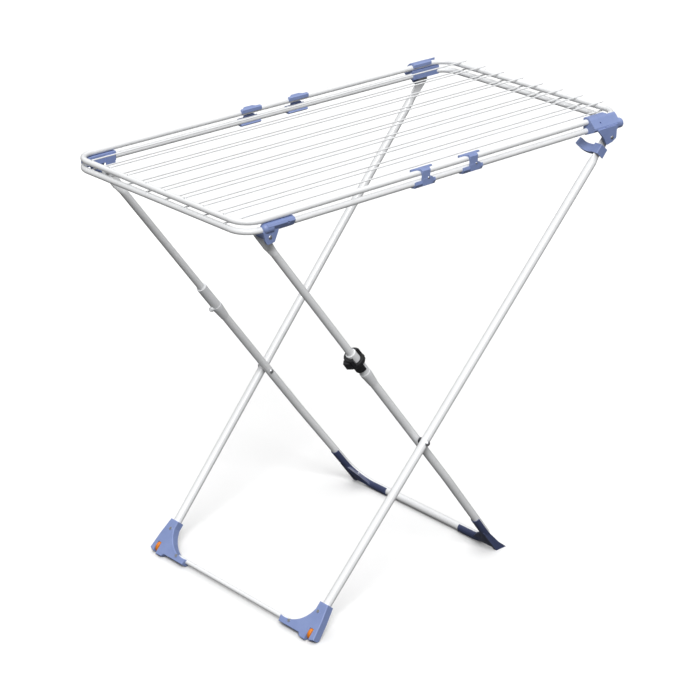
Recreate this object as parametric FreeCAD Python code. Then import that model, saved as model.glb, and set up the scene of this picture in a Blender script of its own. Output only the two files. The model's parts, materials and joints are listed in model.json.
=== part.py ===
import FreeCAD, Part
import math
import os

# Extending clothes airer: two stacked wire frames on a pair of crossed legs.
# Millimetres, +Z up, +X along the wires towards the plain end of the table.
# The origin is on the floor under the middle of the airer's bounding box.

V = FreeCAD.Vector

# --- table frames -------------------------------------------------------
TABLE_LENGTH = 1100.0
TABLE_WIDTH = 570.0
RAIL_R = 6.5
RAIL_WALL = 1.0
CORNER_R = 45.0
UPPER_Z = 1019.5
FRAME_GAP = 20.5
LOWER_Z = UPPER_Z - FRAME_GAP
WIRE_R = 1.6
WIRES = 8
WIRE_TIP = 15.0
RAIL_Y = TABLE_WIDTH / 2
TABLE_X = -(WIRE_TIP - RAIL_R) / 2
LEFT_X = TABLE_X - TABLE_LENGTH / 2
RIGHT_X = TABLE_X + TABLE_LENGTH / 2
GAP = 0.4

# --- pivots and legs ----------------------------------------------------
A_PIVOT = V(RIGHT_X - 54.1, 0, UPPER_Z - 40.3)
A_ANGLE = 48.15
A_LENGTH = 1296.6
A_TOP_Y = 300.0
A_FOOT_Y = 264.0
B_PIVOT = V(LEFT_X + 59.5, 0, UPPER_Z - 38.5)
B_ANGLE = 53.4
B_LENGTH = 1206.0
B_TOP_Y = 254.0
B_FOOT_Y = 240.0
LEG_R = 10.0
LEG_WALL = 1.2
OUTER_R = 9.4
OUTER_WALL = 0.65
INNER_R = 8.4
PIN_R = 3.0
FLAT_T = 5.0
FLAT_R = 11.0
FLARE_START = 46.0
FLARE_END = 70.0

# --- scissor crossing ---------------------------------------------------
A_CROSS = 805.6
B_CROSS = 750.0

# --- telescopic joint ---------------------------------------------------
COLLAR_TOP = 419.0
COLLAR_END = 530.0
LOWER_TOP = 424.0
STRAIGHT_END = 752.0
UPPER_END = 484.0
TUBE_END = 1269.6
B_BEND_R = 70.0

# --- feet ---------------------------------------------------------------
WHEEL_R = 14.0
WHEEL_W = 9.0
WHEEL_OUT = 8.0
WHEEL_GAP = WHEEL_W / 2 + 1.5
BAR_R = 5.5
FOOT_TOP = -11.5
FOOT_T = 20.0
SOLE_GAP = 3.0


def cyl(start, end, radius):
    """Solid round bar between two points."""
    return Part.makeCylinder(radius, (end - start).Length, start, end - start)


def box(low, high):
    """Solid block between two opposite corners."""
    return Part.makeBox(high[0] - low[0], high[1] - low[1], high[2] - low[2], V(*low))


def disc(centre, normal, radius):
    """Round face with its middle at a point."""
    return Part.Face(Part.Wire(Part.makeCircle(radius, centre, normal)))


def bent_bar(points, bend, radius, closed=False):
    """Round bar along straight runs joined by arcs of one bend radius."""
    count = len(points)
    corners = range(count) if closed else range(1, count - 1)
    arcs = {}
    for i in corners:
        before = (points[i] - points[i - 1]).normalize()
        after = (points[(i + 1) % count] - points[i]).normalize()
        turn = before.getAngle(after)
        back = bend * math.tan(turn / 2)
        axis = before.cross(after).normalize()
        start = points[i] - before * back
        centre = start + axis.cross(before) * bend
        arcs[i] = (start, points[i] + after * back, centre, axis, math.degrees(turn), before)
    pieces = []
    for i in range(count if closed else count - 1):
        j = (i + 1) % count
        start = arcs[i][1] if i in arcs else points[i]
        end = arcs[j][0] if j in arcs else points[j]
        pieces.append(cyl(start, end, radius))
    for start, end, centre, axis, turn, along in arcs.values():
        pieces.append(disc(start, along, radius).revolve(centre, axis, turn))
    return pieces[0].fuse(pieces[1:]).removeSplitter()


def prism(outline, axis, low, high):
    """Extrude a closed outline of (a, b) points along X, Y or Z."""
    place = {
        "X": lambda a, b: V(low, a, b),
        "Y": lambda a, b: V(a, low, b),
        "Z": lambda a, b: V(a, b, low),
    }[axis]
    corners = [place(a, b) for a, b in outline]
    face = Part.Face(Part.makePolygon(corners + corners[:1]))
    length = high - low
    return face.extrude({"X": V(length, 0, 0), "Y": V(0, length, 0), "Z": V(0, 0, length)}[axis])


def soften(shape, size, chosen):
    """Round the edges that a test picks, where the solid allows it."""
    edges = [e for e in shape.Edges if chosen(e)]
    return shape.makeFillet(size, edges) if edges else shape


def along(axis):
    """Test for straight edges that run along one axis."""
    index = "XYZ".index(axis)

    def test(edge):
        if not isinstance(edge.Curve, Part.Line):
            return False
        return abs(edge.Curve.Direction[index]) > 0.999

    return test


def mirror_y(shape):
    """The same piece on the other side of the table."""
    return shape.mirror(V(0, 0, 0), V(0, 1, 0))


def leg_frame(pivot, angle, direction):
    """Placement whose X runs down a leg and whose Y is the table's Y."""
    run = V(direction * math.cos(math.radians(angle)), 0, -math.sin(math.radians(angle)))
    up = V(-run.z, 0, run.x)
    matrix = FreeCAD.Matrix(
        run.x, 0, up.x, pivot.x,
        0, 1, 0, 0,
        run.z, 0, up.z, pivot.z,
        0, 0, 0, 1)
    return FreeCAD.Placement(matrix)


A_FRAME = leg_frame(A_PIVOT, A_ANGLE, -1)
B_FRAME = leg_frame(B_PIVOT, B_ANGLE, 1)


def placed(shape, frame):
    """Move a piece drawn in a leg's own frame to where the leg stands."""
    copy = shape.copy()
    copy.Placement = frame.multiply(copy.Placement)
    return copy


def both(shape):
    """A piece and its mirror image, as one group."""
    return Part.makeCompound([shape, mirror_y(shape)])


# --- table --------------------------------------------------------------
def rail_corners(z):
    """Corner points of a frame's centre line."""
    return [
        V(LEFT_X, -RAIL_Y, z), V(RIGHT_X, -RAIL_Y, z),
        V(RIGHT_X, RAIL_Y, z), V(LEFT_X, RAIL_Y, z)]


def frame_tube(z):
    """Closed hollow tube loop with a vent hole under its left end."""
    outer = bent_bar(rail_corners(z), CORNER_R, RAIL_R, True)
    inner = bent_bar(rail_corners(z), CORNER_R, RAIL_R - RAIL_WALL, True)
    vent = cyl(V(LEFT_X, 0, z - RAIL_R - 1), V(LEFT_X, 0, z), 2.0)
    return outer.cut(inner).cut(vent)


def wire_y(index):
    """Sideways place of one wire, evenly spaced between the rails."""
    return -RAIL_Y + TABLE_WIDTH * (index + 1) / (WIRES + 1)


def wire(index, z):
    """One drying wire, lying on both end rails, its right tip past the rail."""
    y = wire_y(index)
    top = z + RAIL_R + WIRE_R - 0.15
    rod = cyl(V(LEFT_X - 2, y, top), V(RIGHT_X + WIRE_TIP, y, top), WIRE_R)
    return rod.cut(rail_solid(z))


def rail_solid(z):
    """Outer body of a frame tube, for cutting its seat in other pieces."""
    return bent_bar(rail_corners(z), CORNER_R, RAIL_R, True)


def side_run(z, radius, low, high):
    """Round bar along a front side rail, for cutting a channel."""
    return cyl(V(low, -RAIL_Y, z), V(high, -RAIL_Y, z), radius)


# --- left brackets ------------------------------------------------------
def left_bracket(low, high):
    """Sleeve on the lower rail with a domed end, and an ear for leg B."""
    z = UPPER_Z
    section = [
        (-276, z - 7.2), (-289, z - 7.2), (-295, z - 9), (-298, z - 14),
        (-292, z - 25), (-284, z - 30), (-276, z - 28)]
    sleeve = soften(prism(section, "X", low, high), 1.5, along("X"))
    dome = Part.makeSphere(11.4, V(low + 2, -286.5, z - 18.6))
    shoulder = cyl(V(low + 2, -286.5, z - 18.6), V(low + 16, -286.5, z - 18.6), 11.4)
    x, deep = B_PIVOT.x, B_PIVOT.z
    outline = [(x - 19, z - 22), (x + 23, z - 22), (x + 20, z - 31), (x + 11, deep - 12),
               (x - 8, deep - 14), (x - 13, deep - 6)]
    ear = soften(prism(outline, "Y", -293, -288), 3.0, along("Y"))
    hub = cyl(V(x, -288.5, deep), V(x, -B_TOP_Y - FLAT_T / 2 - GAP, deep), 8.0)
    flange = box((x + 15, -276.5, z - 33), (high - 4, -273, z - 12))
    body = sleeve.fuse([dome, shoulder, ear, hub, flange])
    body = body.cut(rail_solid(LOWER_Z))
    body = body.cut(rail_solid(UPPER_Z).fuse(side_run(UPPER_Z, RAIL_R + GAP, low - 20, high + 20)))
    body = body.cut(cyl(V(x, -300, deep), V(x, -200, deep), PIN_R))
    body = body.cut(cyl(V(high - 18, -300, z - 15), V(high - 18, -291.4, z - 15), 2.6))
    return body.removeSplitter()


def left_rivet():
    """Rivet that holds a leg B top to its ear, headed at both ends."""
    x, z = B_PIVOT.x, B_PIVOT.z
    shank = cyl(V(x, -293, z), V(x, -250, z), PIN_R)
    outer = Part.makeSphere(6.5, V(x, -288.6, z)).common(box((x - 9, -300, z - 9), (x + 9, -293, z + 9)))
    inner = cyl(V(x, -B_TOP_Y + FLAT_T / 2 + GAP, z), V(x, -B_TOP_Y + FLAT_T / 2 + 2.4, z), 6.0)
    return shank.fuse([outer, inner]).removeSplitter()


# --- right brackets -----------------------------------------------------
def right_bracket():
    """Cradle over the upper rail, sleeve on the lower one, ear for leg A."""
    low, high = RIGHT_X - 108, RIGHT_X - 24
    z = UPPER_Z
    section = [
        (-275.5, z + 1), (-275.5, z + 8), (-279, z + 10), (-291, z + 10), (-296, z + 6),
        (-311, z - 10), (-312, z - 14), (-308, z - 20), (-292, z - 27), (-284, z - 30),
        (-276, z - 28), (-276, z - 7.2), (-283, z - 7.2), (-283, z + 1)]
    sleeve = prism(section, "X", low, high)
    notch_top = box((high - 26, -292, z - 7), (high + 1, -270, z + 12))
    sleeve = sleeve.cut(notch_top)
    cap = cyl(V(low + 30, -300, z - 17), V(high + 14, -300, z - 17), 11.5)
    cap = soften(cap, 5.0, lambda e: abs(e.CenterOfMass.x - high - 14) < 0.1 and e.Length > 60)
    x, deep = A_PIVOT.x, A_PIVOT.z
    outline = [(x - 48, z - 14), (x + 15, z - 14), (x + 14, deep - 3), (x + 1, deep - 10),
               (x - 17, deep - 14), (x - 28, deep + 5)]
    ear = soften(prism(outline, "Y", -316, -311), 3.0, along("Y"))
    neck = box((x - 20, -314, z - 24), (x + 20, -304, z - 12))
    hub = cyl(V(x, -312.0, deep), V(x, -A_TOP_Y - FLAT_T / 2 - GAP, deep), 8.0)
    body = sleeve.fuse([cap, ear, neck, hub])
    body = body.cut(rail_solid(LOWER_Z))
    body = body.cut(side_run(UPPER_Z, RAIL_R + GAP, low - 20, RIGHT_X + 40))
    body = body.cut(box((low - 1, -284, z - 6), (high + 20, -270, z + 0.9)))
    body = body.cut(cyl(V(x, -330, deep), V(x, -280, deep), PIN_R))
    body = body.cut(cyl(V(low + 26, -320, z - 3), V(low + 26, -299, z - 3), 2.6))
    return body.removeSplitter()


def right_rivet():
    """Rivet that holds a leg A top to its ear, headed at both ends."""
    x, z = A_PIVOT.x, A_PIVOT.z
    shank = cyl(V(x, -316, z), V(x, -A_TOP_Y + 4.9, z), PIN_R)
    outer = Part.makeSphere(6.5, V(x, -311.6, z)).common(box((x - 9, -320, z - 9), (x + 9, -316, z + 9)))
    inner = cyl(V(x, -A_TOP_Y + FLAT_T / 2 + GAP, z), V(x, -A_TOP_Y + FLAT_T / 2 + 2.4, z), 6.0)
    return shank.fuse([outer, inner]).removeSplitter()


# --- guide clips --------------------------------------------------------
CLIP_CENTRES = (TABLE_X - 64.0, TABLE_X + 77.0)


def guide_clip(x):
    """Clip screwed to the lower rail that hooks over the upper one."""
    z = UPPER_Z
    hook_section = [
        (-275.5, z + 0.5), (-275.5, z + 8), (-279, z + 9.5), (-291, z + 9.5), (-294.5, z + 6),
        (-294.5, z + 0.5), (-291.8, z + 0.5), (-291.8, z), (-278, z), (-278, z + 0.5)]
    arms = prism(hook_section, "X", x - 29, x + 29)
    waist = prism([(x - 30, -296), (x - 9, -296), (x - 12, -290), (x - 22, -282), (x - 30, -281)],
                  "Z", z - 1, z + 12)
    far = prism([(x + 30, -296), (x + 14, -296), (x + 13, -290), (x + 18, -284), (x + 30, -283)],
                "Z", z - 1, z + 12)
    arms = arms.cut(waist).cut(far)
    neck = box((x - 10, -295.5, z - 21), (x + 12, -292, z + 6))
    lobe = cyl(V(x + 14, -296, z - 18.5), V(x + 14, -290, z - 18.5), 8.5)
    stem = box((x - 9, -296, z - 27), (x + 14, -290, z - 12))
    pad = prism([(-293.5, z - 15), (-295.5, z - 22), (-291, z - 30), (-281, z - 31.5), (-277, z - 28)],
                "X", x - 29, x + 29)
    body = arms.fuse([neck, lobe, stem, pad])
    body = body.cut(side_run(LOWER_Z, RAIL_R, x - 40, x + 40))
    body = body.cut(side_run(UPPER_Z, RAIL_R + GAP, x - 40, x + 40))
    body = body.cut(box((x - 40, -291.5, z - 16), (x + 40, -270, z + 0.4)))
    body = body.cut(cyl(V(x + 8, -300, z - 12), V(x + 8, -293.6, z - 12), 2.4))
    return body.removeSplitter()


def pan_screw(x, y, z, radius, length):
    """Small domed screw driven in along +Y."""
    head = Part.makeSphere(radius * 1.5, V(x, y + radius * 0.9, z))
    head = head.common(box((x - 9, y - 9, z - 9), (x + 9, y, z + 9)))
    return head.fuse(cyl(V(x, y - 0.01, z), V(x, y + length, z), radius * 0.6)).removeSplitter()


# --- leg A --------------------------------------------------------------
def flat_top(side_y, radius, ahead):
    """Pressed-flat tube end with its pivot hole, flaring to the tube that runs ahead."""
    half = FLAT_T / 2
    plate = box((0, side_y - half, -FLAT_R), (FLARE_START, side_y + half, FLAT_R))
    plate = plate.fuse(cyl(V(0, side_y - half, 0), V(0, side_y + half, 0), FLAT_R))
    wide = Part.Ellipse(V(FLARE_START, side_y, 0), FLAT_R, half)
    wide.Axis = V(1, 0, 0)
    wide.XAxis = V(0, 0, 1)
    mouth = Part.Wire(Part.makeCircle(radius, V(FLARE_END, side_y, 0), ahead))
    flare = Part.makeLoft([Part.Wire(wide.toShape()), mouth], True, True)
    hole = cyl(V(0, side_y - 9, 0), V(0, side_y + 9, 0), PIN_R + 0.1)
    return plate.fuse(flare).cut(hole).removeSplitter()


def leg_a_tube():
    """Outer leg, flat at the top and running slightly inwards to its foot."""
    start, end = a_point(FLARE_END), a_point(TUBE_END)
    top = flat_top(-A_TOP_Y, LEG_R, end - start)
    tube = cyl(start, end, LEG_R).cut(cyl(a_point(FLARE_END + 20), end, LEG_R - LEG_WALL))
    body = tube.fuse(top)
    middle = a_point(A_CROSS)
    body = body.cut(cyl(middle - V(0, 20, 0), middle + V(0, 20, 0), PIN_R))
    down, side = foot_screw_places()[1]
    return body.cut(cyl(V(down, side, -20), V(down, side, 20), 1.8)).removeSplitter()


def a_point(distance):
    """Point on the outer leg's centre line at a distance down it."""
    share = (distance - FLARE_END) / (A_LENGTH - FLARE_END)
    return V(distance, -A_TOP_Y + (A_TOP_Y - A_FOOT_Y) * share, 0)


def crossbar():
    """Thin tube between the two feet of leg A."""
    low = V(A_LENGTH - 1, -A_FOOT_Y + 22, -1)
    high = V(A_LENGTH - 1, A_FOOT_Y - 22, -1)
    bar = cyl(low, high, BAR_R).cut(cyl(low, high, BAR_R - 1.0))
    down, side = foot_screw_places()[0]
    for y in (side, -side):
        bar = bar.cut(cyl(V(down, y, -20), V(down, y, 20), 1.8))
    return bar


def foot():
    """Plastic corner foot joining leg and crossbar, slotted for its wheel."""
    d, y = A_LENGTH, -A_FOOT_Y
    corner = [
        V(d - 72, y - 15, 0), V(d - 31, y - 23, 0), V(d + 11, y - 28, 0), V(d + 19, y - 2, 0),
        V(d + 18, y + 16, 0), V(d + 11, y + 22, 0), V(d + 11, y + 90, 0), V(d - 4, y + 94, 0)]
    inner_end = V(d - 54, y + 11.5, 0)
    edges = [Part.makeLine(corner[i], corner[i + 1]) for i in range(len(corner) - 1)]
    edges.append(Part.Arc(corner[-1], V(d - 17, y + 38, 0), inner_end).toShape())
    edges.append(Part.makeLine(inner_end, V(d - 72, y + 11.5, 0)))
    edges.append(Part.makeLine(V(d - 72, y + 11.5, 0), corner[0]))
    body = Part.Face(Part.Wire(edges)).extrude(V(0, 0, FOOT_T))
    body.translate(V(0, 0, FOOT_TOP))
    rims = [e for e in body.Edges if abs(e.CenterOfMass.z - FOOT_TOP) < 0.01]
    body = body.makeFillet(2.0, rims)
    wheel = wheel_centre()
    reach = V(0, WHEEL_GAP, 0)
    body = body.cut(cyl(a_point(FLARE_END), a_point(TUBE_END), LEG_R))
    body = body.cut(cyl(V(d - 1, y + 22, -1), V(d - 1, y + 120, -1), BAR_R))
    body = body.cut(cyl(wheel - V(0, 12, 0), wheel + V(0, 12, 0), 2.5))
    body = body.cut(cyl(wheel - reach, wheel + reach, WHEEL_R + 1.5))
    body = body.cut(box((wheel.x, wheel.y - WHEEL_GAP, -30), (wheel.x + 60, wheel.y + WHEEL_GAP, 30)))
    for down, side in foot_screw_places():
        body = body.cut(cyl(V(down, side, -20), V(down, side, 20), 1.8))
    floor = (A_PIVOT.z - SOLE_GAP) / math.sin(math.radians(A_ANGLE))
    slope = 1 / math.tan(math.radians(A_ANGLE))
    under = prism([(floor + 60 * slope, -60), (floor - 60 * slope, 60), (floor + 400, 60),
                   (floor + 400, -60)], "Y", y - 60, y + 200)
    return max(body.cut(under).Solids, key=lambda s: s.Volume).removeSplitter()


def foot_screw_places():
    """Where the screws pass through a foot: into the crossbar and the leg."""
    return ((A_LENGTH - 1, -A_FOOT_Y + 62), (A_LENGTH - 50, -A_FOOT_Y + 1))


def wheel_centre():
    """Centre of the front wheel in leg A's own frame, tangent to the floor."""
    a = math.radians(A_ANGLE)
    return V((A_PIVOT.z - WHEEL_R) / math.sin(a), -A_FOOT_Y - WHEEL_OUT, 0)


def wheel():
    """Small floor wheel with a rounded tread and sunk hub."""
    c = wheel_centre()
    half = WHEEL_W / 2
    disc_body = cyl(V(c.x, c.y - half, c.z), V(c.x, c.y + half, c.z), WHEEL_R)
    rims = [e for e in disc_body.Edges if not isinstance(e.Curve, Part.Line)]
    disc_body = disc_body.makeFillet(2.0, rims)
    for side in (-1, 1):
        start = V(c.x, c.y + side * half, c.z)
        outer = cyl(start, start - V(0, side * 1.5, 0), 9.5)
        disc_body = disc_body.cut(outer.cut(cyl(start, start - V(0, side * 1.5, 0), 5.0)))
    return disc_body.cut(cyl(V(c.x, c.y - 9, c.z), V(c.x, c.y + 9, c.z), 2.6)).removeSplitter()


def axle():
    """Pin across the slot on which the wheel turns."""
    c = wheel_centre()
    return cyl(c - V(0, 12, 0), c + V(0, 12, 0), 2.5)


def foot_screw(distance, y):
    """Screw through the plane of a foot, its head on the upper side."""
    shank = cyl(V(distance, y, FOOT_TOP - 0.5), V(distance, y, 6), 1.8)
    return shank.fuse(cyl(V(distance, y, FOOT_TOP - 1.5), V(distance, y, FOOT_TOP), 3.8)).removeSplitter()


def scissor_rivet():
    """Rivet and spacer at the crossing, fixed in the outer leg."""
    y = a_point(A_CROSS).y
    head = Part.makeSphere(7.5, V(A_CROSS, y - 7.6, 0))
    head = head.common(box((A_CROSS - 9, y - 20, -9), (A_CROSS + 9, y - 10.2, 9)))
    shank = cyl(V(A_CROSS, y - 10.5, 0), V(A_CROSS, -B_TOP_Y - OUTER_R - 1.2, 0), PIN_R)
    return shank.fuse(head).removeSplitter()


def scissor_spacer():
    """Ring between the crossed legs, ending just short of the inner one."""
    y = a_point(A_CROSS).y
    ring = cyl(V(A_CROSS, y + 3, 0), V(A_CROSS, -B_TOP_Y - OUTER_R - 0.9, 0), 7.0)
    leg = cyl(a_point(FLARE_END), a_point(TUBE_END), LEG_R)
    return ring.cut(leg).cut(cyl(V(A_CROSS, y - 20, 0), V(A_CROSS, y + 40, 0), PIN_R))


def hook_bracket():
    """Channel over the flat top of the front leg, with a hook reaching inwards."""
    root_low, root_high = V(50, -291, -9), V(29, -291, -9)
    elbow, tip_low = V(51, -280, -9), V(41, -236, -9)
    tip_high, throat = V(24, -240, -9), V(25, -247, -9)
    edges = [
        Part.makeLine(root_low, elbow),
        Part.Arc(elbow, V(49.5, -262, -9), tip_low).toShape(),
        Part.makeLine(tip_low, tip_high),
        Part.makeLine(tip_high, throat),
        Part.Arc(throat, V(31, -268, -9), root_high).toShape(),
        Part.makeLine(root_high, root_low)]
    arm = Part.Face(Part.Wire(edges)).extrude(V(0, 0, 10))
    channel = soften(box((27, -310.6, -13.2), (50, -289.5, 14.0)), 1.8, along("X"))
    hollow = box((20, -308.2, -FLAT_R), (60, -292.0, 20.0))
    jaws = box((31, -309, -FLAT_R - 1), (43, -291, 4))
    half = FLAT_T / 2
    plate = box((0, -A_TOP_Y - half, -FLAT_R), (60, -A_TOP_Y + half, FLAT_R))
    return channel.fuse(arm).cut(hollow).fuse(jaws).cut(plate).removeSplitter()


# --- leg B --------------------------------------------------------------
def leg_b_upper_tube():
    """Inner telescopic tube, flat at the pivot end."""
    start, end = V(FLARE_END, -B_TOP_Y, 0), V(UPPER_END, -B_TOP_Y, 0)
    tube = cyl(start, end, INNER_R).cut(cyl(start + V(12, 0, 0), end, INNER_R - 1.0))
    return tube.fuse(flat_top(-B_TOP_Y, INNER_R, V(1, 0, 0))).removeSplitter()


def b_path():
    """Centre line of the outer telescopic tube, bent into a U at the floor."""
    return [
        V(LOWER_TOP, -B_TOP_Y, 0), V(STRAIGHT_END + 160, -B_TOP_Y, 0), V(B_LENGTH, -B_FOOT_Y, 0),
        V(B_LENGTH, B_FOOT_Y, 0), V(STRAIGHT_END + 160, B_TOP_Y, 0), V(LOWER_TOP, B_TOP_Y, 0)]


def b_bar(radius):
    """Round bar along the U, with gentle knees and the wide floor bends."""
    return bent_bar(b_path(), B_BEND_R, radius)


def leg_b_lower_tube():
    """Outer telescopic tube: one bent U with a hole at each crossing."""
    body = b_bar(OUTER_R).cut(b_bar(OUTER_R - OUTER_WALL))
    for side in (-1, 1):
        y = side * (B_TOP_Y - 2)
        body = body.cut(cyl(V(B_CROSS, y, 0), V(B_CROSS, y - side * 20, 0), PIN_R))
    return body.removeSplitter()


def inner_washer():
    """Rivet tail on the inside of leg B at the crossing."""
    y = -B_TOP_Y + OUTER_R
    shank = cyl(V(B_CROSS, y - OUTER_WALL + 0.1, 0), V(B_CROSS, y + 1.6, 0), PIN_R)
    tail = Part.makeSphere(6.5, V(B_CROSS, y - 3.4, 0))
    tail = tail.common(box((B_CROSS - 9, y + 0.2, -9), (B_CROSS + 9, y + 9, 9)))
    leg = cyl(V(0, -B_TOP_Y, 0), V(2000, -B_TOP_Y, 0), OUTER_R)
    return shank.fuse(tail).cut(leg.cut(cyl(V(B_CROSS, y - 9, 0), V(B_CROSS, y + 9, 0), PIN_R)))


def collar():
    """Moulded collar around the mouth of the outer tube."""
    y = -B_TOP_Y
    waist = COLLAR_END - 34
    neck = cyl(V(COLLAR_TOP, y, 0), V(waist, y, 0), 11.8)
    taper = Part.makeCone(12.8, 10.2, COLLAR_END - waist, V(waist, y, 0), V(1, 0, 0))
    lip = cyl(V(waist - 8, y, 0), V(waist, y, 0), 12.8)
    body = neck.fuse([taper, lip])
    body = body.cut(cyl(V(LOWER_TOP, y, 0), V(COLLAR_END + 9, y, 0), OUTER_R))
    return body.cut(cyl(V(0, y, 0), V(LOWER_TOP + 9, y, 0), INNER_R + 0.35)).removeSplitter()


BUTTON_AT = 486.0


def button_boss():
    """Boss on the back collar that guides the release button."""
    y = -B_TOP_Y
    boss = cyl(V(BUTTON_AT, y, 0), V(BUTTON_AT, y, -16.9), 6.0)
    boss = boss.cut(cyl(V(0, y, 0), V(900, y, 0), OUTER_R))
    return boss


def release_button():
    """Round button in the boss of the back collar."""
    y = B_TOP_Y
    stem = cyl(V(BUTTON_AT, y, -11.8), V(BUTTON_AT, y, -19.9), 3.4)
    return soften(stem, 0.8, lambda e: e.CenterOfMass.z < -19.5)


def collar_back():
    """Back collar with its button boss and bore."""
    body = collar().fuse(button_boss())
    bore = cyl(V(BUTTON_AT, -B_TOP_Y, -OUTER_R), V(BUTTON_AT, -B_TOP_Y, -22), 3.7)
    return mirror_y(body.cut(bore).removeSplitter())


def cam_lock():
    """Quarter-turn lock ring around the front collar, open on one side."""
    y = -B_TOP_Y
    low, high = 424.0, 452.0
    ring = cyl(V(low, y, 0), V(high, y, 0), 20.0)
    ring = soften(ring, 3.0, lambda e: not isinstance(e.Curve, Part.Line))
    bore = cyl(V(low - 1, y, 0), V(high + 40, y, 0), 12.2)
    mouth = prism([(y, 0), (y - 30, -22), (y - 34, 10), (y - 6, 34)], "X", low - 1, low + 17)
    spur = prism([(y - 3, -16), (y - 9, -20.5), (y + 6, -27), (y + 12, -18)], "X", low + 4, high - 4)
    tail = cyl(V(high - 1, y, 0), V(high + 20, y, 0), 15.0)
    tail = tail.common(box((high - 2, y - 15, -15), (high + 21, y + 15, 2)))
    body = ring.cut(mouth).fuse([spur, tail])
    return body.cut(bore).removeSplitter()


def shoe():
    """Curved floor shoe under a bend of the U, with a pointed toe."""
    y = -B_FOOT_Y
    start, knee = V(B_LENGTH - 118, b_side(B_LENGTH - 118), 0), V(B_LENGTH, y, 0)
    shell = bent_bar([start, knee, V(B_LENGTH, y + 112, 0)], B_BEND_R, 11.5)
    shell = shell.cut(box((B_LENGTH - 200, y - 60, 2.0), (B_LENGTH + 60, 0, 40)))
    web = prism([(B_LENGTH - 62, y - 6), (B_LENGTH + 4, y - 6), (B_LENGTH + 4, y + 58),
                 (B_LENGTH - 8, y + 58), (B_LENGTH - 34, y + 34), (B_LENGTH - 56, y + 8)], "Z", -8.5, -3.0)
    fin = prism([(B_LENGTH - 66, -10.0), (B_LENGTH + 40, -10.0), (B_LENGTH + 29, 16.0),
                 (B_LENGTH - 4, 8.0), (B_LENGTH - 62, 2.0)], "Y", y - 12, y - 3)
    body = shell.fuse([web, fin]).cut(b_bar(OUTER_R))
    reach = B_PIVOT.z / math.sin(math.radians(B_ANGLE))
    slope = 1 / math.tan(math.radians(B_ANGLE))
    floor = prism([(reach - 60 * slope, -60), (reach + 60 * slope, 60), (reach + 400, 60),
                   (reach + 400, -60)], "Y", y - 60, y + 200)
    hole = cyl(V(B_LENGTH - 33, y + 27, -20), V(B_LENGTH - 33, y + 27, -2.9), 1.8)
    hole = hole.fuse(cyl(V(B_LENGTH - 33, y + 27, -3.0), V(B_LENGTH - 33, y + 27, 20), 3.6))
    return max(body.cut(floor).cut(hole).Solids, key=lambda s: s.Volume)


def b_side(distance):
    """Sideways place of the inner leg's lower run at a distance down it."""
    share = (distance - STRAIGHT_END - 160) / (B_LENGTH - STRAIGHT_END - 160)
    return -B_TOP_Y + (B_TOP_Y - B_FOOT_Y) * share


def shoe_screw():
    """Screw in the web of a shoe, head on the upper side."""
    x, y = B_LENGTH - 33, -B_FOOT_Y + 27
    return cyl(V(x, y, -8), V(x, y, -2), 1.8).fuse(cyl(V(x, y, -3.0), V(x, y, -1.4), 3.4)).removeSplitter()


def guide_plug():
    """Plastic guide in the lower end of the inner telescopic tube."""
    x, y = UPPER_END, -B_TOP_Y
    stem = cyl(V(x - 20, y, 0), V(x, y, 0), INNER_R - 1.0)
    return stem.fuse(cyl(V(x, y, 0), V(x + 6, y, 0), INNER_R)).removeSplitter()


def build_all():
    """Every node's name and shape."""
    nodes = {}
    nodes["lower_frame_tube"] = frame_tube(LOWER_Z)
    nodes["upper_frame_tube"] = frame_tube(UPPER_Z)
    for i in range(WIRES):
        nodes["lower_wire_%d" % (i + 1)] = wire(i, LOWER_Z)
        nodes["upper_wire_%d" % (i + 1)] = wire(i, UPPER_Z)
    right = right_bracket()
    nodes["bracket_front_left"] = left_bracket(LEFT_X + 50, LEFT_X + 122)
    nodes["bracket_back_left"] = mirror_y(left_bracket(LEFT_X + 28, LEFT_X + 102))
    nodes["bracket_front_right"] = right
    nodes["bracket_back_right"] = mirror_y(right)
    for name, x in zip(("left", "right"), CLIP_CENTRES):
        clip = guide_clip(x)
        nodes["guide_clip_front_" + name] = clip
        nodes["guide_clip_back_" + name] = mirror_y(clip)
    clip_screws = [pan_screw(x + 8, -296.0, UPPER_Z - 12, 2.4, 1.8) for x in CLIP_CENTRES]
    nodes["clip_screws"] = Part.makeCompound(clip_screws + [mirror_y(s) for s in clip_screws])
    nodes["left_pivot_rivets"] = both(left_rivet())
    nodes["right_pivot_rivets"] = both(right_rivet())

    for name, shape in (
            ("leg_a_tube_front", leg_a_tube()),
            ("leg_a_tube_back", mirror_y(leg_a_tube())),
            ("leg_a_crossbar", crossbar()),
            ("foot_front", foot()),
            ("foot_back", mirror_y(foot())),
            ("wheel_front", wheel()),
            ("wheel_back", mirror_y(wheel())),
            ("wheel_axles", both(axle())),
            ("scissor_rivets", both(scissor_rivet())),
            ("scissor_spacers", both(scissor_spacer())),
            ("hook_bracket", hook_bracket())):
        nodes[name] = placed(shape, A_FRAME)
    screws = [foot_screw(down, side) for down, side in foot_screw_places()]
    screws += [mirror_y(s) for s in screws]
    nodes["foot_screws"] = placed(Part.makeCompound(screws), A_FRAME)

    for name, shape in (
            ("leg_b_upper_tube_front", leg_b_upper_tube()),
            ("leg_b_upper_tube_back", mirror_y(leg_b_upper_tube())),
            ("telescope_guides", both(guide_plug())),
            ("leg_b_lower_tube", leg_b_lower_tube()),
            ("scissor_rivet_tails", both(inner_washer())),
            ("collar_front", collar()),
            ("collar_back", collar_back()),
            ("cam_lock", cam_lock()),
            ("release_button", release_button()),
            ("shoe_front", shoe()),
            ("shoe_back", mirror_y(shoe())),
            ("shoe_screws", both(shoe_screw()))):
        nodes[name] = placed(shape, B_FRAME)
    return nodes


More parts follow.
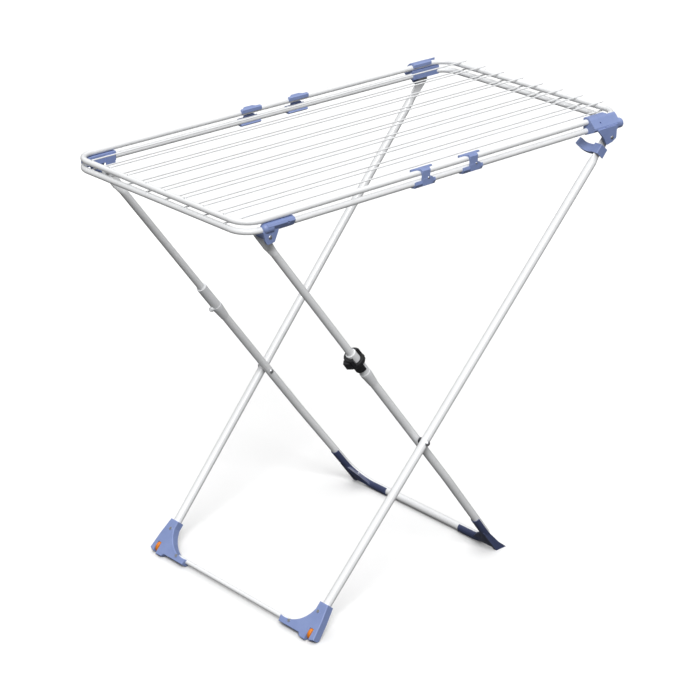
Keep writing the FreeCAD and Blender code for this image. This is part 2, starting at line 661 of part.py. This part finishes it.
os.makedirs("parts", exist_ok=True)
for node, shape in build_all().items():
    shape.exportStep("parts/%s.step" % node)
    print("%-26s solids %d valid %s volume %.0f" % (node, len(shape.Solids), shape.isValid(), shape.Volume))
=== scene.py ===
import json
import math

import bmesh
import bpy
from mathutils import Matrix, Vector


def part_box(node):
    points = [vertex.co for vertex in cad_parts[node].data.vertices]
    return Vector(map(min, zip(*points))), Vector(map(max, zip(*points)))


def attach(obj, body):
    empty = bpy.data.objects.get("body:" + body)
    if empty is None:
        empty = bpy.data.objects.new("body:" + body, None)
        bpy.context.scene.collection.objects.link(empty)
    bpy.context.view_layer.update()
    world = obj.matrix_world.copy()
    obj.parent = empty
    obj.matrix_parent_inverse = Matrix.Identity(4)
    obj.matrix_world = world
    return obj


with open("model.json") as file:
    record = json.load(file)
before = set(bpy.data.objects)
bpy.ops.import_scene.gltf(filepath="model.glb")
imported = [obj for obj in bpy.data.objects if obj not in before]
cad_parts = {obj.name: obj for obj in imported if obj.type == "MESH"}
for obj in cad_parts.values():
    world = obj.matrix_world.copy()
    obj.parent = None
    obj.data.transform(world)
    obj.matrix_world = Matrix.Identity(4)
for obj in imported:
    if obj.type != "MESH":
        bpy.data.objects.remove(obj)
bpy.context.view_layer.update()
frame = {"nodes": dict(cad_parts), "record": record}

NODES = frame["nodes"]

# --- camera -------------------------------------------------------------
CAMERA_PLACE = (-3.3010, -3.6465, 2.6268)
CAMERA_AZIMUTH = -42.0
CAMERA_ELEVATION = 23.39
CAMERA_LENS = 120.14
CAMERA_SENSOR = 36.0

# --- light: direction it comes from, spread in degrees, strength --------
KEY_LIGHT = ((-0.45, -0.55, 0.70), 25.0, 2.5)
TOP_LIGHT = ((0.15, 0.10, 1.0), 90.0, 1.2)
WORLD_BELOW = 0.10
WORLD_ABOVE = 0.30
FLOOR_HALF = 30.0

# --- sizes of the added details, in metres ------------------------------
WIRES = 8
RAIL_R = 0.0065
BEAD_BESIDE = 0.0018
BEAD_BELOW = 0.0013
BEAD_LENGTH = 0.0026
BEAD_WIDTH = 0.0017
BEAD_HEIGHT = 0.0010
LOCK_RIBS = 16
LOCK_R = 0.0200
LOCK_RIB_SHIFT = 0.0085
LOCK_RIB_LENGTH = 0.0040
LOCK_RIB_WIDTH = 0.0013


def make_camera():
    """Long lens from the front left, a little above the table."""
    data = bpy.data.cameras.new("camera")
    data.sensor_width = CAMERA_SENSOR
    data.lens = CAMERA_LENS
    data.clip_start = 0.1
    data.clip_end = 100.0
    camera = bpy.data.objects.new("camera", data)
    bpy.context.scene.collection.objects.link(camera)
    azimuth = math.radians(CAMERA_AZIMUTH)
    elevation = math.radians(CAMERA_ELEVATION)
    back = Vector((math.sin(azimuth) * math.cos(elevation),
                   -math.cos(azimuth) * math.cos(elevation),
                   math.sin(elevation)))
    camera.location = CAMERA_PLACE
    camera.rotation_mode = "QUATERNION"
    camera.rotation_quaternion = (-back).to_track_quat("-Z", "Y")
    bpy.context.scene.camera = camera


# --- light and floor ----------------------------------------------------
def soft_light(name, towards, spread, strength):
    """Even studio light that comes from the direction towards, softened by its spread in degrees."""
    data = bpy.data.lights.new(name, "SUN")
    data.energy = strength
    data.angle = math.radians(spread)
    lamp = bpy.data.objects.new(name, data)
    bpy.context.scene.collection.objects.link(lamp)
    lamp.rotation_mode = "QUATERNION"
    lamp.rotation_quaternion = Vector(towards).to_track_quat("Z", "Y")


def make_world():
    """Plain studio surroundings, bright above and dim below."""
    world = bpy.data.worlds.new("studio")
    bpy.context.scene.world = world
    world.use_nodes = True
    tree = world.node_tree
    tree.nodes.clear()
    place = tree.nodes.new("ShaderNodeTexCoord")
    split = tree.nodes.new("ShaderNodeSeparateXYZ")
    ramp = tree.nodes.new("ShaderNodeMapRange")
    ramp.inputs["From Min"].default_value = -0.25
    ramp.inputs["From Max"].default_value = 0.55
    ramp.inputs["To Min"].default_value = WORLD_BELOW
    ramp.inputs["To Max"].default_value = WORLD_ABOVE
    ramp.interpolation_type = "SMOOTHSTEP"
    shine = tree.nodes.new("ShaderNodeBackground")
    shine.inputs["Color"].default_value = (1.0, 1.0, 1.0, 1.0)
    out = tree.nodes.new("ShaderNodeOutputWorld")
    tree.links.new(place.outputs["Generated"], split.inputs["Vector"])
    tree.links.new(split.outputs["Z"], ramp.inputs["Value"])
    tree.links.new(ramp.outputs["Result"], shine.inputs["Strength"])
    tree.links.new(shine.outputs["Background"], out.inputs["Surface"])


def make_stage():
    """Pale floor. It gives the rack no light from below, as in a bright cut-out."""
    mesh = bpy.data.meshes.new("floor")
    half = FLOOR_HALF
    mesh.from_pydata([(-half, -half, 0), (half, -half, 0), (half, half, 0), (-half, half, 0)],
                     [], [(0, 1, 2, 3)])
    floor = bpy.data.objects.new("floor", mesh)
    bpy.context.scene.collection.objects.link(floor)
    floor.visible_diffuse = False
    floor.visible_glossy = False
    shade = Shader("pale_floor")
    shade.base((0.93, 0.93, 0.93, 1.0))
    shade.set("Roughness", 0.9)
    shade.set("Specular IOR Level", 0.1)
    mesh.materials.append(shade.material)


# --- materials ----------------------------------------------------------
class Shader:
    """A node material under construction, with short calls for its usual nodes."""

    def __init__(self, name):
        self.material = bpy.data.materials.new(name)
        self.material.use_nodes = True
        self.tree = self.material.node_tree
        self.surface = self.tree.nodes["Principled BSDF"]
        self.place = self.tree.nodes.new("ShaderNodeTexCoord").outputs["Object"]

    def link(self, source, target):
        self.tree.links.new(source, target)

    def set(self, socket, value):
        self.surface.inputs[socket].default_value = value

    def base(self, source):
        if isinstance(source, tuple):
            self.set("Base Color", source)
        else:
            self.link(source, self.surface.inputs["Base Color"])

    def stretched(self, scale):
        """Object coordinates scaled by a different amount along each axis."""
        node = self.tree.nodes.new("ShaderNodeMapping")
        node.inputs["Scale"].default_value = scale
        self.link(self.place, node.inputs["Vector"])
        return node.outputs["Vector"]

    def noise(self, scale, detail=3.0, rough=0.5, where=None):
        node = self.tree.nodes.new("ShaderNodeTexNoise")
        node.inputs["Scale"].default_value = scale
        node.inputs["Detail"].default_value = detail
        node.inputs["Roughness"].default_value = rough
        self.link(where or self.place, node.inputs["Vector"])
        return node.outputs["Fac"]

    def cells(self, scale):
        node = self.tree.nodes.new("ShaderNodeTexVoronoi")
        node.inputs["Scale"].default_value = scale
        self.link(self.place, node.inputs["Vector"])
        return node.outputs["Distance"]

    def spread(self, source, low, high, to_low=0.0, to_high=1.0):
        """source between low and high, stretched to between to_low and to_high."""
        node = self.tree.nodes.new("ShaderNodeMapRange")
        for socket, value in (("From Min", low), ("From Max", high), ("To Min", to_low), ("To Max", to_high)):
            node.inputs[socket].default_value = value
        self.link(source, node.inputs["Value"])
        return node.outputs["Result"]

    def mix(self, share, first, second):
        node = self.tree.nodes.new("ShaderNodeMix")
        node.data_type = "RGBA"
        self.link(share, node.inputs["Factor"])
        for socket, value in ((node.inputs[6], first), (node.inputs[7], second)):
            if isinstance(value, tuple):
                socket.default_value = value
            else:
                self.link(value, socket)
        return node.outputs[2]

    def times(self, first, second, operation="MULTIPLY"):
        node = self.tree.nodes.new("ShaderNodeMath")
        node.operation = operation
        for socket, value in ((node.inputs[0], first), (node.inputs[1], second)):
            if isinstance(value, float):
                socket.default_value = value
            else:
                self.link(value, socket)
        return node.outputs[0]

    def edges(self, radius, low, high):
        """1 along sharp edges and 0 on open surfaces, from a rounded normal."""
        bevel = self.tree.nodes.new("ShaderNodeBevel")
        bevel.samples = 4
        bevel.inputs["Radius"].default_value = radius
        flat = self.tree.nodes.new("ShaderNodeNewGeometry")
        dot = self.tree.nodes.new("ShaderNodeVectorMath")
        dot.operation = "DOT_PRODUCT"
        self.link(bevel.outputs["Normal"], dot.inputs[0])
        self.link(flat.outputs["Normal"], dot.inputs[1])
        return self.spread(dot.outputs["Value"], high, low)

    def bump(self, parts):
        """Adds heights to the surface: parts is a list of (height, distance in metres, strength)."""
        normal = None
        for height, distance, strength in parts:
            node = self.tree.nodes.new("ShaderNodeBump")
            node.inputs["Strength"].default_value = strength
            node.inputs["Distance"].default_value = distance
            self.link(height, node.inputs["Height"])
            if normal is not None:
                self.link(normal, node.inputs["Normal"])
            normal = node.outputs["Normal"]
        self.link(normal, self.surface.inputs["Normal"])

    def roughness(self, source):
        self.link(source, self.surface.inputs["Roughness"])


def powder_coat(name, tint, worn, gloss):
    """Baked powder paint: orange peel, faint clouding, scuffs, and thin paint on sharp edges."""
    shade = Shader(name)
    cloud = shade.spread(shade.noise(9.0), 0.35, 0.65)
    shaded = tuple(c * 0.955 for c in tint[:3]) + (1.0,)
    colour = shade.mix(cloud, tint, shaded)
    specks = shade.spread(shade.noise(420.0, 2.0), 0.66, 0.74, 0.0, 0.35)
    colour = shade.mix(specks, colour, worn)
    wear = shade.times(shade.edges(0.0007, 0.75, 0.97), shade.spread(shade.noise(160.0), 0.42, 0.62))
    colour = shade.mix(shade.times(wear, 0.6), colour, worn)
    shade.base(colour)
    scuffs = shade.noise(1.0, 5.0, 0.6, shade.stretched((40.0, 160.0, 40.0)))
    shade.roughness(shade.spread(scuffs, 0.3, 0.75, gloss, gloss + 0.16))
    shade.bump([(shade.noise(300.0, 1.0), 0.00010, 0.25), (shade.noise(1500.0, 1.0), 0.00004, 0.15)])
    shade.set("Coat Weight", 0.25)
    shade.set("Coat Roughness", 0.12)
    shade.set("IOR", 1.5)
    return shade.material


def moulded(name, tint, deep, pale, rough, grain):
    """Injection-moulded plastic: fine spark-eroded grain, flow clouds and paler rubbed edges."""
    shade = Shader(name)
    cloud = shade.spread(shade.noise(28.0, 4.0, 0.6), 0.32, 0.68)
    colour = shade.mix(cloud, tint, deep)
    streaks = shade.noise(1.0, 3.0, 0.6, shade.stretched((60.0, 300.0, 300.0)))
    colour = shade.mix(shade.spread(streaks, 0.55, 0.8, 0.0, 0.3), colour, deep)
    patchy = shade.spread(shade.noise(220.0, 3.0), 0.3, 0.6, 0.35, 1.0)
    rub = shade.times(shade.edges(0.0010, 0.70, 0.97), patchy)
    colour = shade.mix(shade.times(rub, 0.75), colour, pale)
    shade.base(colour)
    patch = shade.noise(75.0, 4.0)
    shade.roughness(shade.spread(patch, 0.3, 0.7, rough, rough + 0.14))
    shade.bump([(shade.noise(2600.0, 2.0), 0.00006, grain), (shade.cells(1300.0), 0.00004, grain * 0.6),
                (shade.noise(120.0, 1.0), 0.00012, 0.12)])
    shade.set("IOR", 1.49)
    return shade.material


def zinc_steel(name):
    """Zinc-plated steel of rivets and screws: turned lines, spangle and dulled patches."""
    shade = Shader(name)
    cloud = shade.spread(shade.noise(500.0, 3.0), 0.3, 0.7)
    colour = shade.mix(cloud, (0.60, 0.61, 0.64, 1.0), (0.74, 0.75, 0.77, 1.0))
    rub = shade.edges(0.0005, 0.7, 0.97)
    shade.base(shade.mix(shade.times(rub, 0.5), colour, (0.86, 0.87, 0.88, 1.0)))
    shade.roughness(shade.spread(shade.noise(900.0, 3.0), 0.3, 0.7, 0.26, 0.46))
    shade.bump([(shade.noise(1.0, 2.0, 0.5, shade.stretched((2500.0, 400.0, 2500.0))), 0.00005, 0.25)])
    shade.set("Metallic", 1.0)
    return shade.material


def make_materials():
    """One finish for each material slot of the record."""
    return {
        "white_tube": powder_coat("white_tube", (0.88, 0.89, 0.90, 1), (0.60, 0.61, 0.62, 1), 0.24),
        "white_wire": powder_coat("white_wire", (0.85, 0.86, 0.87, 1), (0.58, 0.59, 0.60, 1), 0.30),
        "blue_plastic": moulded("blue_plastic", (0.250, 0.320, 0.575, 1), (0.215, 0.280, 0.525, 1),
                                (0.44, 0.51, 0.74, 1), 0.34, 0.35),
        "dark_blue_plastic": moulded("dark_blue_plastic", (0.060, 0.076, 0.160, 1), (0.044, 0.056, 0.125, 1),
                                     (0.24, 0.27, 0.42, 1), 0.34, 0.40),
        "orange_wheel": moulded("orange_wheel", (0.80, 0.235, 0.012, 1), (0.70, 0.185, 0.008, 1),
                                (0.90, 0.42, 0.10, 1), 0.36, 0.25),
        "black_plastic": moulded("black_plastic", (0.012, 0.012, 0.014, 1), (0.018, 0.018, 0.020, 1),
                                 (0.09, 0.09, 0.10, 1), 0.36, 0.45),
        "white_plastic": moulded("white_plastic", (0.80, 0.81, 0.82, 1), (0.76, 0.77, 0.79, 1),
                                 (0.88, 0.88, 0.89, 1), 0.30, 0.25),
        "dark_plastic": moulded("dark_plastic", (0.045, 0.047, 0.055, 1), (0.035, 0.037, 0.045, 1),
                                (0.14, 0.14, 0.16, 1), 0.42, 0.40),
        "steel_fastener": zinc_steel("steel_fastener"),
    }


def dress(materials):
    """Gives every CAD node the finish of its material slot."""
    for part in frame["record"]["subparts"]:
        node = NODES[part["node"]]
        node.data.materials.clear()
        node.data.materials.append(materials[part["material_slot"]])


def new_piece(name, mesh, body, material):
    """Turns a bmesh in the row frame into a smooth piece that rides on a CAD body."""
    bmesh.ops.recalc_face_normals(mesh, faces=mesh.faces)
    data = bpy.data.meshes.new(name)
    mesh.to_mesh(data)
    mesh.free()
    data.polygons.foreach_set("use_smooth", [True] * len(data.polygons))
    data.materials.append(material)
    piece = bpy.data.objects.new(name, data)
    bpy.context.scene.collection.objects.link(piece)
    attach(piece, body)
    return piece


def lathe(mesh, rings, tip):
    """Skins rings of points into a cup closed at its last point."""
    loops = [[mesh.verts.new(point) for point in ring] for ring in rings]
    last = mesh.verts.new(tip)
    count = len(loops[0])
    for low, high in zip(loops, loops[1:]):
        for i in range(count):
            mesh.faces.new((low[i], low[(i + 1) % count], high[(i + 1) % count], high[i]))
    for i in range(count):
        mesh.faces.new((loops[-1][i], loops[-1][(i + 1) % count], last))
    mesh.faces.new(list(reversed(loops[0])))


def weld_bead(mesh, place, seed):
    """Small uneven mound of painted weld beside a wire."""
    rings = []
    for radius, height in ((1.0, -0.9), (0.95, -0.1), (0.62, 0.6)):
        ring = []
        for i in range(10):
            turn = math.tau * i / 10
            swell = 1.0 + 0.10 * math.sin(2 * turn + seed) + 0.06 * math.sin(3 * turn + 2.3 * seed)
            ring.append(place + Vector((
                BEAD_LENGTH * radius * swell * math.cos(turn),
                BEAD_WIDTH * radius * swell * math.sin(turn),
                BEAD_HEIGHT * height)))
        rings.append(ring)
    lathe(mesh, rings, place + Vector((0.0, 0.0, 0.0009)))


def make_weld_beads(layer, body, material):
    """Two beads at each end of every wire of one table layer."""
    tube_low, tube_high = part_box(layer + "_frame_tube")
    mesh = bmesh.new()
    for number in range(1, WIRES + 1):
        low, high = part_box("%s_wire_%d" % (layer, number))
        y, z = (low[1] + high[1]) / 2, (low[2] + high[2]) / 2 - BEAD_BELOW
        for x in (tube_low[0] + RAIL_R, tube_high[0] - RAIL_R):
            for side in (-1, 1):
                weld_bead(mesh, Vector((x, y + side * BEAD_BESIDE, z)), number + 3 * side + 10 * x)
    new_piece(layer + "_weld_beads", mesh, body, material)


def make_lock_ribs(material):
    """Raised finger ribs around the black lock ring."""
    joint = next(j for j in frame["record"]["behaviour"]["joints"] if j["name"] == "cam_lock_turn")
    axis = Vector(joint["axis"]).normalized()
    out = Vector((0.0, 1.0, 0.0))
    across = axis.cross(out)
    middle = Vector(joint["pos_m"]) + axis * LOCK_RIB_SHIFT
    mesh = bmesh.new()
    for number in range(LOCK_RIBS):
        turn = math.tau * number / LOCK_RIBS
        away = out * math.cos(turn) + across * math.sin(turn)
        beside = axis.cross(away)
        rings = []
        for rise, share in ((-0.0006, 1.0), (0.0003, 0.92), (0.0008, 0.60)):
            rings.append([
                middle + away * (LOCK_R + rise)
                + axis * (LOCK_RIB_LENGTH * share * math.cos(math.tau * i / 12))
                + beside * (LOCK_RIB_WIDTH * share * math.sin(math.tau * i / 12))
                for i in range(12)])
        lathe(mesh, rings, middle + away * (LOCK_R + 0.0009))
    new_piece("cam_lock_ribs", mesh, "cam_lock", material)


def make_lights():
    """Key from the camera's side and above, and a broad top light."""
    soft_light("key", *KEY_LIGHT)
    soft_light("top", *TOP_LIGHT)


bpy.context.scene.view_settings.view_transform = "Standard"
make_camera()
make_world()
make_lights()
make_stage()
materials = make_materials()
dress(materials)
make_weld_beads("lower", "table", materials["white_wire"])
make_weld_beads("upper", "upper_frame", materials["white_wire"])
make_lock_ribs(materials["black_plastic"])
